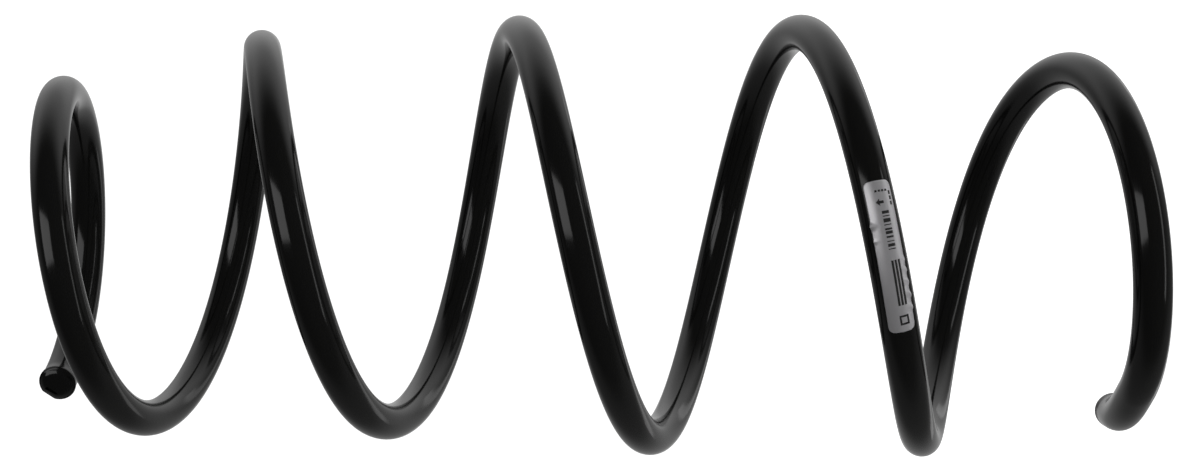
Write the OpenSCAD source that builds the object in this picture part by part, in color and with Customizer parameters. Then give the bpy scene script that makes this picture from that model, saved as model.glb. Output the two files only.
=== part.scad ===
// Coil spring of a front suspension strut, standing upright on its lower seat.
// One spring-steel bar is wound right-handed, with a narrow end coil at each end
// and wider working coils between them. The bar is divided into stretches, so that
// each can travel by its own share when the spring is squeezed.
// The origin is the centre of the lower seat plane and +Z runs up the coil axis.

/* [Bar] */
// Diameter of the bar over its coating
bar_d = 12.5; // [10:0.1:15]
// Direction in which the lower tip lies, about the coil axis
lower_tip_angle = 170; // [0:1:359]

/* [Length of each span of the bar, in turns] */
// Lower tip to where the bar leaves its seat
seat_turns = 0.102; // [0.05:0.001:0.3]
// On to where the bar climbs most steeply
ramp_turns = 0.476; // [0.3:0.001:0.7]
// On to where the working coils begin
climb_turns = 0.557; // [0.3:0.001:0.9]
// On to where the working coils are most open
belly_turns = 0.641; // [0.3:0.001:1]
// On to where the working coils begin to narrow
middle_turns = 0.949; // [0.5:0.001:1.5]
// On to the shoulder, where they are narrower
shoulder_turns = 0.348; // [0.2:0.001:0.9]
// On to the neck, where the bar begins to turn in
neck_turns = 0.697; // [0.4:0.001:1.4]
// On to the upper end coil
upper_turn_in_turns = 0.676; // [0.3:0.001:1]
// Upper end coil, to the upper tip
upper_coil_turns = 0.515; // [0.3:0.001:0.8]

/* [Rise of the bar, per turn] */
// Rise at the lower tip
lower_tip_rise = 13; // [0:0.5:20]
// Rise where the bar leaves its seat
seat_rise = -7; // [-12:0.5:12]
// Rise where the bar climbs most steeply
ramp_rise = 106.5; // [80:0.5:130]
// Rise where the working coils begin
body_rise = 82.5; // [60:0.5:110]
// Rise where the working coils are most open
belly_rise = 101; // [75:0.5:125]
// Rise where the working coils begin to narrow
middle_rise = 88.5; // [70:0.5:120]
// Rise at the shoulder
shoulder_rise = 89.5; // [70:0.5:110]
// Rise at the neck
neck_rise = 87.5; // [60:0.5:110]
// Rise at the start of the upper end coil
upper_coil_rise = 44.5; // [30:0.5:60]
// Rise at the upper tip
upper_tip_rise = 8.5; // [0:0.5:25]

/* [Mean coil diameters] */
// Mean diameter at the lower tip
lower_tip_coil_d = 125.5; // [100:0.5:155]
// Mean diameter where the bar leaves its seat
seat_coil_d = 117.5; // [95:0.5:145]
// Mean diameter where the bar climbs most steeply
lower_coil_d = 112; // [90:0.5:140]
// Mean diameter where the working coils begin
body_coil_d = 142.5; // [115:0.5:175]
// Mean diameter where the working coils are most open
belly_coil_d = 138; // [115:0.5:170]
// Mean diameter where the working coils begin to narrow
middle_coil_d = 141.5; // [115:0.5:170]
// Mean diameter at the shoulder
shoulder_coil_d = 127; // [105:0.5:155]
// Mean diameter at the neck
neck_coil_d = 135.5; // [110:0.5:165]
// Mean diameter of the upper end coil
upper_coil_d = 102; // [85:0.5:130]
// Mean diameter at the upper tip
upper_tip_coil_d = 113; // [90:0.5:140]

/* [Stretches] */
// Length of the lowest stretch of the bar, in turns; the others share the rest equally
first_stretch_turns = 0.19; // [0.12:0.005:0.24]

/* [Label] */
// Length of the label along the bar
label_l = 45; // [30:0.5:60]
// Distance from the lower cut of the label's stretch of bar to the label
label_from_cut = 8.5; // [1:0.5:25]
// Width of the label round the bar
label_w = 9; // [6:0.5:14]
// Radius of the label's corners
label_corner_r = 1.8; // [0.5:0.1:3]
// Angle of the label's middle round the bar, from straight outwards, up the spring
label_lean = -6; // [-30:1:30]
// Thickness of the label
label_t = 0.15; // [0.1:0.05:0.3]
// Room left under the label for its adhesive
label_gap = 0.15; // [0.15:0.05:0.3]

/* [Hidden] */
turn_names = ["lower_end_turn", "working_turn_1", "working_turn_2", "working_turn_3", "upper_end_turn"];
quarter_names = ["a", "b", "c", "d"];
stretch_names = [for (t = turn_names) for (q = quarter_names) str(t, "_", q)];

// Each span of the bar: its length in turns, then rise per turn and mean coil radius at its upper end
spans = [
    [seat_turns, seat_rise, seat_coil_d / 2],
    [ramp_turns, ramp_rise, lower_coil_d / 2],
    [climb_turns, body_rise, body_coil_d / 2],
    [belly_turns, belly_rise, belly_coil_d / 2],
    [middle_turns, middle_rise, middle_coil_d / 2],
    [shoulder_turns, shoulder_rise, shoulder_coil_d / 2],
    [neck_turns, neck_rise, neck_coil_d / 2],
    [upper_turn_in_turns, upper_coil_rise, upper_coil_d / 2],
    [upper_coil_turns, upper_tip_rise, upper_tip_coil_d / 2]
];
function turns_to(i) = i == 0 ? 0 : turns_to(i - 1) + spans[i - 1][0];

// Each station, from the lower tip up: turns so far, rise per turn, mean coil radius
stations = concat(
    [[0, lower_tip_rise, lower_tip_coil_d / 2]],
    [for (i = [0 : len(spans) - 1]) [turns_to(i + 1), spans[i][1], spans[i][2]]]);
total_turns = turns_to(len(spans));

bar_r = bar_d / 2;
stretches = len(stretch_names);
stretch_turns = (total_turns - first_stretch_turns) / (stretches - 1);
// Room left at each cut between two stretches, as a share of a turn
cut_gap = 0.03;
cut_turns = cut_gap / (PI * body_coil_d);
// Rings of points along one stretch, and points in one ring
stretch_rings = 18;
ring_sides = 24;
// The stretch that carries the label, working_turn_1_b
label_stretch = 5;
// Rings of points along the label, and strips across it
label_rings = 10;
label_sides = 8;

// The turn at which stretch i begins; past the last one, the upper tip
function cut_at(i) = i == 0 ? 0 : first_stretch_turns + (i - 1) * stretch_turns;

// Share of the way from station i to the next one
function span_share(t, i) =
    min(1, max(0, (t - stations[i][0]) / (stations[i + 1][0] - stations[i][0])));

// Height that the bar gains over span i by turn t: the rise changes evenly along a span
function span_climb(t, i) =
    let (share = span_share(t, i),
         length = stations[i + 1][0] - stations[i][0],
         rise_here = stations[i][1] + share * (stations[i + 1][1] - stations[i][1]))
    share * length * (stations[i][1] + rise_here) / 2;

function sum(values, i = 0) = i == len(values) ? 0 : values[i] + sum(values, i + 1);
function span_at(t, i = 0) = i == len(spans) - 1 || t < stations[i + 1][0] ? i : span_at(t, i + 1);
function smooth(share) = share * share * (3 - 2 * share);

function bar_height(t) = bar_r + sum([for (i = [0 : len(spans) - 1]) span_climb(t, i)]);
function bar_rise(t) = lookup(t, [for (s = stations) [s[0], s[1]]]);
function coil_radius(t) =
    let (i = span_at(t))
    stations[i][2] + smooth(span_share(t, i)) * (stations[i + 1][2] - stations[i][2]);

// Slope of the bar against the seat plane
function bar_slope(t) = atan2(bar_rise(t), 2 * PI * coil_radius(t));

// A point in the upright plane through the coil axis at turn t, at the given
// distance from the bar's centre line and angle round it
function bar_point(t, distance, angle) =
    let (out = coil_radius(t) + distance * cos(angle),
         up = bar_height(t) + distance * sin(angle) / cos(bar_slope(t)),
         about = lower_tip_angle + 360 * t)
    [out * cos(about), out * sin(about), up];

// A skin through rings of points, each patch in two triangles
function skin_faces(rings, sides) =
    [for (i = [0 : rings - 2]) for (j = [0 : sides - 1]) for (half = [0, 1])
        let (here = i * sides, next = here + sides, k = (j + 1) % sides)
        half == 0 ? [here + j, next + j, next + k] : [here + j, next + k, here + k]];

// The flat end faces of the bar
function round_end_faces(rings, sides) =
    [[for (j = [0 : sides - 1]) j], [for (j = [sides - 1 : -1 : 0]) (rings - 1) * sides + j]];

// The thin end faces of the label, between its outer and inner rows of points
function strip_end_faces(rings, sides) =
    [for (last = [0, 1]) for (j = [0 : sides / 2 - 2]) for (half = [0, 1])
        let (first = last * (rings - 1) * sides,
             a = first + j, b = a + 1, c = first + sides - 2 - j, d = c + 1,
             corners = half == 0 ? [a, b, c] : [a, c, d])
        last == 0 ? corners : [corners[2], corners[1], corners[0]]];

module bar_stretch(index) {
    from_turn = cut_at(index) + (index == 0 ? 0 : cut_turns / 2);
    to_turn = cut_at(index + 1) - (index == stretches - 1 ? 0 : cut_turns / 2);
    points = [for (i = [0 : stretch_rings]) for (j = [0 : ring_sides - 1])
        bar_point(from_turn + (to_turn - from_turn) * i / stretch_rings, bar_r, 360 * j / ring_sides)];
    faces = concat(skin_faces(stretch_rings + 1, ring_sides), round_end_faces(stretch_rings + 1, ring_sides));
    color("#141414") polyhedron(points, faces, convexity = 4);
}

// How far the label's end is drawn in at a distance across it, to round its corners
function corner_cut(across) =
    let (into = max(0, abs(across) - (label_w / 2 - label_corner_r)))
    label_corner_r - sqrt(label_corner_r * label_corner_r - into * into);

// The turn at a share of the label's length, for a strip at a distance across it
function label_strip_turn(share, across) =
    let (cut_turn = cut_at(label_stretch),
         bar_per_turn = 2 * PI * coil_radius(cut_turn) / cos(bar_slope(cut_turn)),
         half_l = label_l / 2 - corner_cut(across))
    cut_turn + (label_from_cut + label_l / 2 + (2 * share - 1) * half_l) / bar_per_turn;

module label() {
    mid_r = bar_r + label_gap + label_t / 2;
    rings = [for (i = [0 : label_rings]) concat(
        [for (j = [0 : label_sides]) [j, label_t / 2]],
        [for (j = [label_sides : -1 : 0]) [j, -label_t / 2]])];
    points = [for (i = [0 : label_rings]) for (side = rings[i])
        let (across = label_w * (side[0] / label_sides - 1 / 2),
             angle = label_lean + across / mid_r * 180 / PI)
        bar_point(label_strip_turn(i / label_rings, across), mid_r + side[1], angle)];
    row = 2 * (label_sides + 1);
    faces = concat(skin_faces(label_rings + 1, row), strip_end_faces(label_rings + 1, row));
    color("silver") polyhedron(points, faces, convexity = 4);
}

for (i = [0 : stretches - 1])
    bar_stretch(i);
label();
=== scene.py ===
# Looks for a strut's coil spring: a gloss black bar, a foil label and its print, in a white studio

import math

import bmesh
import bpy
from mathutils import Matrix, Vector


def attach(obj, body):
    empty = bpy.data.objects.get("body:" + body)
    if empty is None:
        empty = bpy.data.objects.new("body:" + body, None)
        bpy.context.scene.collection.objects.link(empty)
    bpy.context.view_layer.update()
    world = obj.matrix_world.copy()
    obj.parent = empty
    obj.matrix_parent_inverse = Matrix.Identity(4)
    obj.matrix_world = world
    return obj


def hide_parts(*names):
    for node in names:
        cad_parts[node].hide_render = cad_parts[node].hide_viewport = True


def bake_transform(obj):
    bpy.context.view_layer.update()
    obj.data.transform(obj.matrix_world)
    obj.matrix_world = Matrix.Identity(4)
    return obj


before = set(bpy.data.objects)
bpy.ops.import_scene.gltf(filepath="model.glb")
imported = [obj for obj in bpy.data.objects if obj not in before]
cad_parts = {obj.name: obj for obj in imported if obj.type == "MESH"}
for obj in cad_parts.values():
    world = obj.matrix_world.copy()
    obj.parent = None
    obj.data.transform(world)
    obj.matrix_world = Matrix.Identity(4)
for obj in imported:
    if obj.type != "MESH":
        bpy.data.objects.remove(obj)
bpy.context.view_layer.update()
print("frame loaded:", len(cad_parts), "nodes")

# ---- how the bar is wound, in metres, from the lower tip up ----

winding = {
    "barRadius": 0.00625,
    "lowerTipAngle": 170,          # degrees about the coil axis
    "lowerTip": (0.013, 0.1255),   # rise per turn, mean coil diameter
    "spans": [                     # length in turns; rise per turn and mean diameter at its upper end
        (0.102, -0.0070, 0.1175),  # seat
        (0.476, 0.1065, 0.1120),   # ramp
        (0.557, 0.0825, 0.1425),   # climb
        (0.641, 0.1010, 0.1380),   # belly
        (0.949, 0.0885, 0.1415),   # middle
        (0.348, 0.0895, 0.1270),   # shoulder
        (0.697, 0.0875, 0.1355),   # neck
        (0.676, 0.0445, 0.1020),   # turn in
        (0.515, 0.0085, 0.1130),   # upper end coil
    ],
    "firstStretch": 0.19,          # turns of bar in the lowest stretch; the others share the rest
    "turnNames": (
        "lower_end_turn",
        "working_turn_1",
        "working_turn_2",
        "working_turn_3",
        "upper_end_turn",
    ),
    "quarterNames": "abcd",
}

stations = [(0.0,) + winding["lowerTip"]]
for length, rise, diameter in winding["spans"]:
    stations.append((stations[-1][0] + length, rise, diameter))
totalTurns = stations[-1][0]
barRadius = winding["barRadius"]
stretchNames = [
    turn + "_" + quarter
    for turn in winding["turnNames"]
    for quarter in winding["quarterNames"]
]


def cutAt(index):      # the turn at which a stretch begins
    each = (totalTurns - winding["firstStretch"]) / (len(stretchNames) - 1)
    return 0 if index == 0 else winding["firstStretch"] + (index - 1) * each


def smooth(share):
    return share * share * (3 - 2 * share)


def spanShare(turn, lower, upper):
    return min(1, max(0, (turn - lower[0]) / (upper[0] - lower[0])))


def barHeight(turn):
    height = barRadius
    for lower, upper in zip(stations, stations[1:]):
        share = spanShare(turn, lower, upper)
        riseHere = lower[1] + share * (upper[1] - lower[1])
        height += share * (upper[0] - lower[0]) * (lower[1] + riseHere) / 2
    return height


def barRise(turn):
    rise = stations[0][1]
    for lower, upper in zip(stations, stations[1:]):
        rise += spanShare(turn, lower, upper) * (upper[1] - lower[1])
    return rise


def coilRadius(turn):
    radius = stations[0][2] / 2
    for lower, upper in zip(stations, stations[1:]):
        radius += smooth(spanShare(turn, lower, upper)) * (upper[2] - lower[2]) / 2
    return radius


def coilFlare(turn):   # how fast the coil radius grows, per turn
    flare = 0
    for lower, upper in zip(stations, stations[1:]):
        share = spanShare(turn, lower, upper)
        flare += 6 * share * (1 - share) * (upper[2] - lower[2]) / 2 / (upper[0] - lower[0])
    return flare


def outFromAxis(turn):
    about = math.radians(winding["lowerTipAngle"] + 360 * turn)
    return Vector((math.cos(about), math.sin(about), 0))


def barPlace(turn):    # matrix of one cross-section: x up the spring, y outwards, z along the bar
    outwards = outFromAxis(turn)
    around = Vector((-outwards.y, outwards.x, 0))
    radius = coilRadius(turn)
    along = outwards * coilFlare(turn) + around * 2 * math.pi * radius + Vector((0, 0, barRise(turn)))
    along.normalize()
    y = (outwards - along * outwards.dot(along)).normalized()
    x = y.cross(along)
    centre = outwards * radius + Vector((0, 0, barHeight(turn)))
    place = Matrix((x, y, along)).transposed().to_4x4()
    place.translation = centre
    return place


# ---- materials ----

def newMaterial(name, colour, **settings):
    material = bpy.data.materials.new(name)
    material.use_nodes = True
    shader = material.node_tree.nodes["Principled BSDF"]
    shader.inputs["Base Color"].default_value = (*colour, 1)
    for socket, value in settings.items():
        shader.inputs[socket.replace("_", " ")].default_value = value
    return material


def addNode(material, kind, **values):
    node = material.node_tree.nodes.new(kind)
    for key, value in values.items():
        setattr(node, key, value)
    return node


def objectNoise(material, scale, detail):
    coords = addNode(material, "ShaderNodeTexCoord")
    noise = addNode(material, "ShaderNodeTexNoise")
    noise.inputs["Scale"].default_value = scale
    noise.inputs["Detail"].default_value = detail
    material.node_tree.links.new(coords.outputs["Object"], noise.inputs["Vector"])
    return noise


def addBump(material, height, strength, distance):
    bump = addNode(material, "ShaderNodeBump")
    bump.inputs["Strength"].default_value = strength
    bump.inputs["Distance"].default_value = distance
    links = material.node_tree.links
    links.new(height, bump.inputs["Height"])
    links.new(bump.outputs["Normal"], material.node_tree.nodes["Principled BSDF"].inputs["Normal"])
    return bump


coat = {
    "colour": (0.003, 0.003, 0.0028),
    "roughness": 0.13,
    "IOR": 1.5,
    "orangePeelScale": 420,        # dimples per metre
    "orangePeelDetail": 1.5,
    "orangePeelStrength": 0.25,
    "orangePeelDepth": 0.00004,
}


def glossBlackCoat():
    material = newMaterial("glossBlackCoat", coat["colour"], Roughness=coat["roughness"], IOR=coat["IOR"])
    peel = objectNoise(material, coat["orangePeelScale"], coat["orangePeelDetail"])
    addBump(material, peel.outputs["Fac"], coat["orangePeelStrength"], coat["orangePeelDepth"])
    return material


foil = {
    "colour": (0.74, 0.73, 0.75),
    "metallic": 0.85,
    "roughness": 0.42,
    "grainScale": 1500,
    "grainDetail": 2,
    "grainStrength": 0.25,
    "grainDepth": 0.00003,
}


def silverFoil():
    finish = {"Metallic": foil["metallic"], "Roughness": foil["roughness"]}
    material = newMaterial("silverFoil", foil["colour"], **finish)
    grain = objectNoise(material, foil["grainScale"], foil["grainDetail"])
    addBump(material, grain.outputs["Fac"], foil["grainStrength"], foil["grainDepth"])
    return material


ink = {
    "colour": (0.012, 0.012, 0.012),
    "roughness": 0.5,
}


def printInk():
    return newMaterial("printInk", ink["colour"], Roughness=ink["roughness"])


# ---- the bar ----

bar = {
    "sides": 48,
    "partsPerStretch": 4,          # parts each stretch of bar is cut into
    "ringsPerPart": 12,
    "tipEdgeSegments": 6,
    "domeWidth": 0.0032,           # how far in from its rounded rim the tip's face is domed
    "domeSteps": 8,
    # The shears' marks on the last bit of bar: how far they reach along it, how much it is spread, how
    # far it is pushed up the spring, a flat's direction and depth, the rounding left round the rim, and
    # how steeply the tip's face falls away to it.
    "lowerTip": {
        "reach": 0.0030,
        "spread": 1.03,
        "push": 0.0005,
        "flatTowards": 225,
        "flatDepth": 0.0002,
        "edge": 0.0014,
        "domeAngle": 14,
    },
    "upperTip": {
        "reach": 0.0040,
        "spread": 1.085,
        "push": 0.0,
        "flatTowards": 52,
        "flatDepth": 0.00045,
        "edge": 0.0006,
        "domeAngle": 46,
    },
}


def extrudeRing(bm, edges, move):
    made = bmesh.ops.extrude_edge_only(bm, edges=edges)["geom"]
    verts = [part for part in made if isinstance(part, bmesh.types.BMVert)]
    edges = [part for part in made if isinstance(part, bmesh.types.BMEdge)]
    bmesh.ops.transform(bm, matrix=move, verts=verts)
    rim = [edge for edge in edges if all(vert in verts for vert in edge.verts)]
    return rim, verts


def faceOutwards(bm):
    bmesh.ops.recalc_face_normals(bm, faces=bm.faces)
    if bm.calc_volume(signed=True) < 0:
        bmesh.ops.reverse_faces(bm, faces=bm.faces)


def shearTip(bm, place, shear, roundNormal):      # the last bit of bar, pressed out of round by the shears
    flatAngle = math.radians(shear["flatTowards"])
    towards = Vector((math.cos(flatAngle), math.sin(flatAngle), 0))
    limit = barRadius - shear["flatDepth"]
    for vert in bm.verts:
        local = place.inverted() @ vert.co
        pressed = 0
        if local.length < 2 * barRadius:
            pressed = smooth(max(0, 1 - abs(local.z) / shear["reach"]))
        if pressed:
            past = max(0, local.dot(towards) - limit)
            spread = 1 + (shear["spread"] - 1) * pressed
            local -= towards * past * min(1, 2 * pressed)
            local.x = local.x * spread + shear["push"] * pressed
            local.y *= spread
            vert.co = place @ local
            vert[roundNormal] = (0, 0, 0)


def finishTip(bm, rim, outOfBar, shear):          # rounds and domes the sheared end of the bar
    bmesh.ops.bevel(bm, geom=rim, offset=shear["edge"], segments=bar["tipEdgeSegments"], profile=0.5,
                    affect="EDGES", material=-1)
    face = max(bm.faces, key=lambda face: len(face.verts) * (face.normal.dot(outOfBar) > 0.9))
    width = bar["domeWidth"] / bar["domeSteps"]
    for step in range(bar["domeSteps"]):
        slope = math.radians(shear["domeAngle"]) * (1 - (step + 0.5) / bar["domeSteps"])
        bmesh.ops.inset_region(bm, faces=[face], thickness=width, depth=width * math.tan(slope))


def layBar(name, fromTurn, toTurn):
    steps = bar["ringsPerPart"]
    places = [barPlace(fromTurn + (toTurn - fromTurn) * step / steps) for step in range(steps + 1)]
    bm = bmesh.new()
    roundNormal = bm.verts.layers.float_vector.new("roundNormal")   # exact, so no seam shows between parts
    verts = bmesh.ops.create_circle(bm, segments=bar["sides"], radius=barRadius, matrix=places[0])["verts"]
    lowerRim = upperRim = list(bm.edges)
    for step, place in enumerate(places):
        if step:
            upperRim, verts = extrudeRing(bm, upperRim, place @ places[step - 1].inverted())
        for vert in verts:
            vert[roundNormal] = (vert.co - place.translation).normalized()
    isTip = {"lower": fromTurn == 0, "upper": toTurn == totalTurns}
    for rim in (lowerRim, upperRim):
        bmesh.ops.contextual_create(bm, geom=rim)
    ends = (("lower", lowerRim, places[0], places[1]), ("upper", upperRim, places[-1], places[-2]))
    for end, rim, place, inner in ends:
        if isTip[end]:
            outOfBar = (place.translation - inner.translation).normalized()
            shearTip(bm, place, bar[end + "Tip"], roundNormal)
            faceOutwards(bm)
            finishTip(bm, rim, outOfBar, bar[end + "Tip"])
        else:
            for edge in rim:
                edge.smooth = False
    faceOutwards(bm)
    for face in bm.faces:
        face.smooth = True
    mesh = bpy.data.meshes.new(name)
    bm.to_mesh(mesh)
    bm.free()
    return mesh


def useRoundNormals(mesh):         # a zero normal leaves a corner as it was, as on the tips
    stored = mesh.attributes["roundNormal"].data
    normals = [Vector((0, 0, 0))] * len(mesh.loops)
    for face in mesh.polygons:
        if len(face.vertices) == 4:
            for loop in face.loop_indices:
                normals[loop] = stored[mesh.loops[loop].vertex_index].vector.copy()
    mesh.normals_split_custom_set(normals)
    mesh.attributes.remove(mesh.attributes["roundNormal"])


def addPiece(mesh, material):
    piece = bpy.data.objects.new(mesh.name, mesh)
    bpy.context.scene.collection.objects.link(piece)
    mesh.materials.append(material)
    return piece


seated = 0.01                      # share of the spring's height within which the bar stays with its seat


def heightShare(turn):             # 0 at the lower tip, 1 at the upper one
    return (barHeight(turn) - barRadius) / (barHeight(totalTurns) - barRadius)


# A piece within the seated share of either end rides on that end coil; any other piece keeps its place and
# does not follow the squeeze.
def followSqueeze(piece, fromTurn, toTurn, outwards=0):
    shares = [heightShare(fromTurn), heightShare(toTurn)]
    if max(shares) < seated:
        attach(piece, "lower_end_coil")
    elif min(shares) > 1 - seated:
        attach(piece, "upper_end_coil")
    else:
        ends = [outFromAxis(turn) * (coilRadius(turn) + outwards) for turn in (fromTurn, toTurn)]
        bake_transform(piece)


def partCuts(index):               # where one stretch is cut into its parts
    parts = bar["partsPerStretch"]
    fromTurn, toTurn = cutAt(index), cutAt(index + 1)
    return [fromTurn + (toTurn - fromTurn) * part / parts for part in range(parts)] + [toTurn]


coatMaterial = glossBlackCoat()
for index, node in enumerate(stretchNames):
    cuts = partCuts(index)
    for part in range(bar["partsPerStretch"]):
        mesh = layBar("bar_" + node + "_" + str(part + 1), cuts[part], cuts[part + 1])
        useRoundNormals(mesh)
        piece = addPiece(mesh, coatMaterial)
        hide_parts(node)
        followSqueeze(piece, cuts[part], cuts[part + 1])
print("bar wound in", len(stretchNames), "stretches of", bar["partsPerStretch"], "parts")

# ---- the label ----

label = {
    "length": 0.045,
    "fromCut": 0.0085,             # from the lower end of its stretch of bar
    "stretch": 5,
    "width": 0.009,
    "cornerRadius": 0.0018,
    "lean": -6,                    # degrees round the bar from straight outwards, up the spring
    "thickness": 0.00015,
    "gap": 0.00015,
    "cellsAlong": 200,
    "cellsAcross": 36,
    "edgeBand": 0.0026,            # how far in from its edges the foil has come off the bar
    "wrinkles": [                  # share of the length from the top, share of the width, reach along, height
        (0.285, 0.0, 0.0009, 0.00070),
        (0.385, 0.0, 0.0006, 0.00025),
        (0.53, 1.0, 0.0008, 0.00030),
        (0.60, 1.0, 0.0007, 0.00045),
        (0.68, 1.0, 0.0009, 0.00050),
        (0.765, 1.0, 0.0009, 0.00060),
        (0.85, 1.0, 0.0008, 0.00045),
    ],
}


def cornerCut(across):             # how far the label's end is drawn in, to round its corners
    radius = label["cornerRadius"]
    into = max(0, abs(across) - (label["width"] / 2 - radius))
    return radius - math.sqrt(max(0, radius * radius - into * into))


def wrinkleLift(fromTop, across):  # how far the foil stands off the bar
    lift = 0
    for along, side, reach, height in label["wrinkles"]:
        fromEdge = abs(across - label["width"] * (0.5 - side))
        bandShare = max(0, 1 - fromEdge / label["edgeBand"])
        lift += height * bandShare ** 2 * math.exp(-((fromTop - along * label["length"]) / reach) ** 2)
    return lift


def labelTurn(fromTop):
    startTurn = cutAt(label["stretch"])
    barPerTurn = math.hypot(2 * math.pi * coilRadius(startTurn), barRise(startTurn))
    return startTurn + (label["fromCut"] + label["length"] - fromTop) / barPerTurn


def labelPoint(fromTop, across, lift):
    distance = barRadius + label["gap"] + lift + wrinkleLift(fromTop, across)
    angle = math.radians(label["lean"]) + across / (barRadius + label["gap"] + label["thickness"] / 2)
    local = Vector((distance * math.sin(angle), distance * math.cos(angle), 0))
    return barPlace(labelTurn(fromTop)) @ local


def closeFilm(bm, thickness):      # gives a film its thickness, inwards from its face
    bmesh.ops.remove_doubles(bm, verts=bm.verts, dist=1e-7)
    bmesh.ops.recalc_face_normals(bm, faces=bm.faces)
    outwards = sum(face.normal.dot(face.calc_center_median() * Vector((1, 1, 0))) for face in bm.faces)
    if outwards < 0:
        bmesh.ops.reverse_faces(bm, faces=bm.faces)
    bmesh.ops.solidify(bm, geom=bm.faces[:], thickness=thickness)
    faceOutwards(bm)
    for face in bm.faces:
        face.smooth = True


def filmPiece(bm, name, material):
    mesh = bpy.data.meshes.new(name)
    bm.to_mesh(mesh)
    bm.free()
    return addPiece(mesh, material)


def cutLabel():
    bm = bmesh.new()
    bmesh.ops.create_grid(bm, x_segments=label["cellsAlong"], y_segments=label["cellsAcross"], size=0.5)
    for vert in bm.verts:
        across = vert.co.y * label["width"]
        halfLength = label["length"] / 2 - cornerCut(across)
        vert.co = labelPoint(label["length"] / 2 + 2 * vert.co.x * halfLength, across, label["thickness"])
    closeFilm(bm, label["thickness"])
    return filmPiece(bm, "foilLabel", silverFoil())


foilLabel = cutLabel()
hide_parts("label")
followSqueeze(foilLabel, labelTurn(label["length"]), labelTurn(0), outwards=barRadius)
print("label stuck on")

# ---- print on the label: plain marks, with no lettering ----

marks = {
    "thickness": 0.00002,
    "cell": 0.0004,                # size of the cells that let a mark follow the bar
    "lift": 1.5,                   # how far a mark stands off the foil, in its own thicknesses
    "dots": {"fromTop": 0.068, "size": (0.0006, 0.00072), "across": (0.40, 0.52, 0.64, 0.76)},
    "arrow": {"fromTop": 0.142, "head": (0.0021, 0.0012), "shaft": (0.0008, 0.0013), "tipAt": 0.33},
    "sideDashes": {"across": 0.89, "size": (0.0011, 0.0007), "fromTop": (0.085, 0.12, 0.155)},
    "code": {
        "from": 0.20,
        "to": 0.45,
        "across": 0.60,
        "height": 0.0023,
        "bars": (3, 2, 1, 2, 4, 2, 1, 3, 2, 1, 3, 2, 2, 3, 1, 2, 3, 2, 1),   # bar, space, bar and so on
    },
    "rules": {"from": 0.52, "to": 0.82, "width": 0.0007, "across": (0.52, 0.64, 0.76)},
    "square": {"fromTop": 0.92, "across": 0.62, "size": 0.0030, "line": 0.0006},
}


def layMark(bm, fromTop, acrossShare, along, across, taper=1):   # taper narrows the mark's upper side
    columns = max(1, round(along / marks["cell"]))
    rows = max(2, round(across / marks["cell"]))
    made = bmesh.ops.create_grid(bm, x_segments=columns, y_segments=rows, size=0.5)["verts"]
    for vert in made:
        narrowed = 1 + (taper - 1) * (vert.co.y + 0.5)
        where = fromTop + vert.co.x * along * narrowed
        side = label["width"] * (0.5 - acrossShare) + vert.co.y * across
        vert.co = labelPoint(where, side, label["thickness"] + marks["thickness"] * marks["lift"])


def printMarks():
    bm = bmesh.new()
    length, width = label["length"], label["width"]
    for side in marks["dots"]["across"]:
        layMark(bm, marks["dots"]["fromTop"] * length, side, *marks["dots"]["size"])
    arrow = marks["arrow"]
    headMiddle = arrow["tipAt"] + arrow["head"][1] / 2 / width
    layMark(bm, arrow["fromTop"] * length, headMiddle, arrow["head"][0], arrow["head"][1], taper=0)
    shaftMiddle = arrow["tipAt"] + (arrow["head"][1] + arrow["shaft"][1] / 2) / width
    layMark(bm, arrow["fromTop"] * length, shaftMiddle, arrow["shaft"][0], arrow["shaft"][1])
    for fromTop in marks["sideDashes"]["fromTop"]:
        layMark(bm, fromTop * length, marks["sideDashes"]["across"], *marks["sideDashes"]["size"])
    code = marks["code"]
    unit = (code["to"] - code["from"]) * length / sum(code["bars"])
    place = code["from"] * length
    for order, share in enumerate(code["bars"]):
        if order % 2 == 0:
            layMark(bm, place + share * unit / 2, code["across"], share * unit, code["height"])
        place += share * unit
    rules = marks["rules"]
    rulesMiddle = (rules["from"] + rules["to"]) / 2 * length
    rulesLength = (rules["to"] - rules["from"]) * length
    for side in rules["across"]:
        layMark(bm, rulesMiddle, side, rulesLength, rules["width"])
    square = marks["square"]
    for offset in (-0.5, 0.5):
        shift = offset * (square["size"] - square["line"])
        layMark(bm, square["fromTop"] * length + shift, square["across"], square["line"], square["size"])
        layMark(bm, square["fromTop"] * length, square["across"] + shift / width,
                square["size"] - 2 * square["line"], square["line"])
    closeFilm(bm, marks["thickness"])
    return filmPiece(bm, "labelPrint", printInk())


labelPrint = printMarks()
followSqueeze(labelPrint, labelTurn(label["length"]), labelTurn(0), outwards=barRadius)
print("label printed with plain marks")

# ---- studio ----

studio = {
    "floorHalf": 3.0,
    "floorColour": (0.9, 0.9, 0.9),
    "floorRoughness": 0.9,
    "white": 1.15,                 # brightness of the floor and of what the camera sees behind it
    # each step of the room: the direction's share it runs between, and its brightness at both ends
    "wall": (-0.3, 0.2, 0.05, 0.13),
    "backdrop": (0.5, 1.0, 0.0, 0.22),
    "backdropMiddle": (0.93, 1.0, 0.0, 0.25),
    "overhead": (0.05, 0.75, 0.0, 0.62),
    "overheadDepth": (-0.35, 0.45, 0.0, 1.0),
    "softBoxOverMiddle": 0.95,     # height of the soft box over the spring's middle
}


def addFloor():
    bm = bmesh.new()
    bmesh.ops.create_grid(bm, x_segments=1, y_segments=1, size=studio["floorHalf"])
    mesh = bpy.data.meshes.new("floor")
    bm.to_mesh(mesh)
    bm.free()
    material = newMaterial("whiteFloor", studio["floorColour"], Roughness=studio["floorRoughness"],
                           Emission_Color=(1, 1, 1, 1), Emission_Strength=studio["white"])
    floor = addPiece(mesh, material)
    floor.visible_glossy = False
    floor.visible_shadow = False


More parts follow.
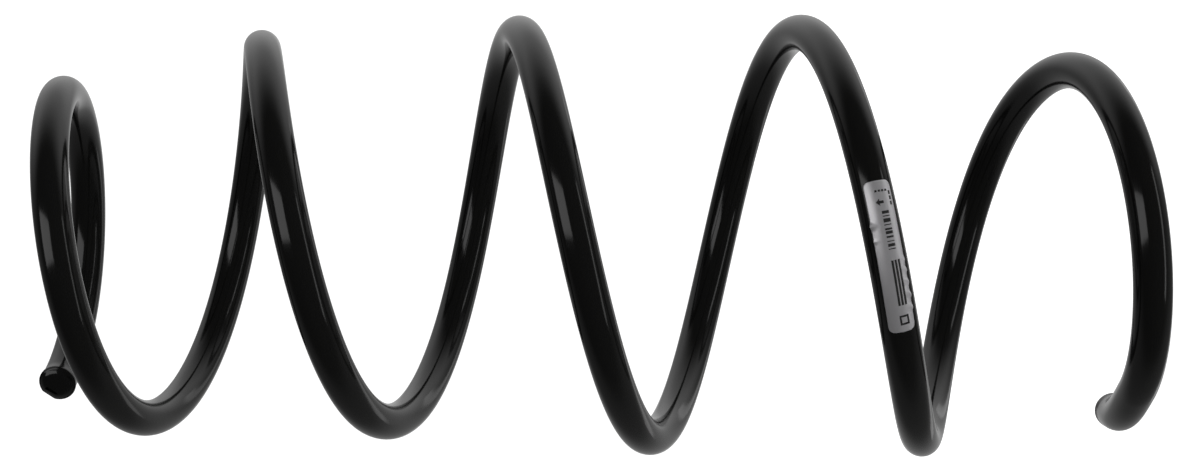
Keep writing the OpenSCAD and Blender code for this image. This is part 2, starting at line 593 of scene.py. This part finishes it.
def addLight(name, centre, target, width, height, radiance, turn=0):
    light = bpy.data.lights.new(name, "AREA")
    light.shape = "RECTANGLE"
    light.size = width
    light.size_y = height
    light.energy = radiance * math.pi * width * height
    lamp = bpy.data.objects.new(name, light)
    back = (Vector(centre) - Vector(target)).normalized()
    x = (Vector((1, 0, 0)) - back * back.x).normalized()
    facing = Matrix((x, back.cross(x), back)).transposed() @ Matrix.Rotation(math.radians(turn), 3, "Z")
    lamp.matrix_world = Matrix.Translation(centre) @ facing.to_4x4()
    lamp.visible_camera = False
    bpy.context.scene.collection.objects.link(lamp)
    return lamp


def roomShare(tree, value, low, high, lowValue, highValue):   # a smooth step in the room's brightness
    step = tree.nodes.new("ShaderNodeMapRange")
    step.interpolation_type = "SMOOTHSTEP"
    settings = {"From Min": low, "From Max": high, "To Min": lowValue, "To Max": highValue}
    for name, number in settings.items():
        step.inputs[name].default_value = number
    tree.links.new(value, step.inputs["Value"])
    return step.outputs["Result"]


def roomMath(tree, operation, first, second):
    node = tree.nodes.new("ShaderNodeMath")
    node.operation = operation
    tree.links.new(first, node.inputs[0])
    tree.links.new(second, node.inputs[1])
    return node.outputs["Value"]


def addWorld():                    # a room that is dark in front, pale behind and brightest over one side
    world = bpy.data.worlds.new("whiteRoom")
    bpy.context.scene.world = world
    world.use_nodes = True
    tree = world.node_tree
    tree.nodes.clear()
    coords = tree.nodes.new("ShaderNodeTexCoord")
    towards = tree.nodes.new("ShaderNodeSeparateXYZ")
    tree.links.new(coords.outputs["Generated"], towards.inputs["Vector"])
    across, away = towards.outputs["X"], towards.outputs["Y"]
    wall = roomShare(tree, away, *studio["wall"])
    backdropWide = roomShare(tree, away, *studio["backdrop"])
    backdropMiddle = roomShare(tree, away, *studio["backdropMiddle"])
    backdrop = roomMath(tree, "ADD", backdropWide, backdropMiddle)
    overheadAcross = roomShare(tree, across, *studio["overhead"])
    overheadAway = roomShare(tree, away, *studio["overheadDepth"])
    overhead = roomMath(tree, "MULTIPLY", overheadAcross, overheadAway)
    room = roomMath(tree, "ADD", roomMath(tree, "ADD", wall, backdrop), overhead)
    path = tree.nodes.new("ShaderNodeLightPath")
    mix = tree.nodes.new("ShaderNodeMix")
    mix.data_type = "FLOAT"
    tree.links.new(path.outputs["Is Camera Ray"], mix.inputs["Factor"])
    tree.links.new(room, mix.inputs["A"])
    mix.inputs["B"].default_value = studio["white"]
    background = tree.nodes.new("ShaderNodeBackground")
    background.inputs["Color"].default_value = (1, 1, 1, 1)
    output = tree.nodes.new("ShaderNodeOutputWorld")
    tree.links.new(mix.outputs["Result"], background.inputs["Strength"])
    tree.links.new(background.outputs["Background"], output.inputs["Surface"])


addFloor()
addWorld()
middle = (0, 0, barHeight(totalTurns) / 2)
softBoxHeight = middle[2] + studio["softBoxOverMiddle"]
addLight("softBox", (0.12, -1.05, softBoxHeight), middle, width=0.62, height=1.25, radiance=1.35, turn=8)
addLight("stripLight", (0.06, -0.31, -0.60), middle, width=0.80, height=0.10, radiance=1.3)
addLight("rimLight", (0.05, 0.90, -0.60), middle, width=1.2, height=0.20, radiance=0.5)

# ---- camera ----

view = {
    "place": (-0.0015, -0.7288, 0.1637),
    "lens": 62.95,                 # millimetres
    "sensor": 36,
    "turn": 1.6992,                # degrees, towards the upper end
    "tilt": 0.1223,
    "roll": -0.3984,
}


def addCamera():
    data = bpy.data.cameras.new("camera")
    data.lens = view["lens"]
    data.sensor_width = view["sensor"]
    data.sensor_fit = "HORIZONTAL"
    camera = bpy.data.objects.new("camera", data)
    bpy.context.scene.collection.objects.link(camera)
    sideways = Matrix(((0, 1, 0), (0, 0, -1), (-1, 0, 0)))
    turned = (sideways @ Matrix.Rotation(math.radians(view["turn"]), 3, "Y")
              @ Matrix.Rotation(math.radians(view["tilt"]), 3, "X")
              @ Matrix.Rotation(math.radians(view["roll"]), 3, "Z"))
    camera.matrix_world = Matrix.Translation(view["place"]) @ turned.to_4x4()
    bpy.context.scene.camera = camera


addCamera()
bpy.context.scene.view_settings.view_transform = "Standard"
print("studio and camera set")
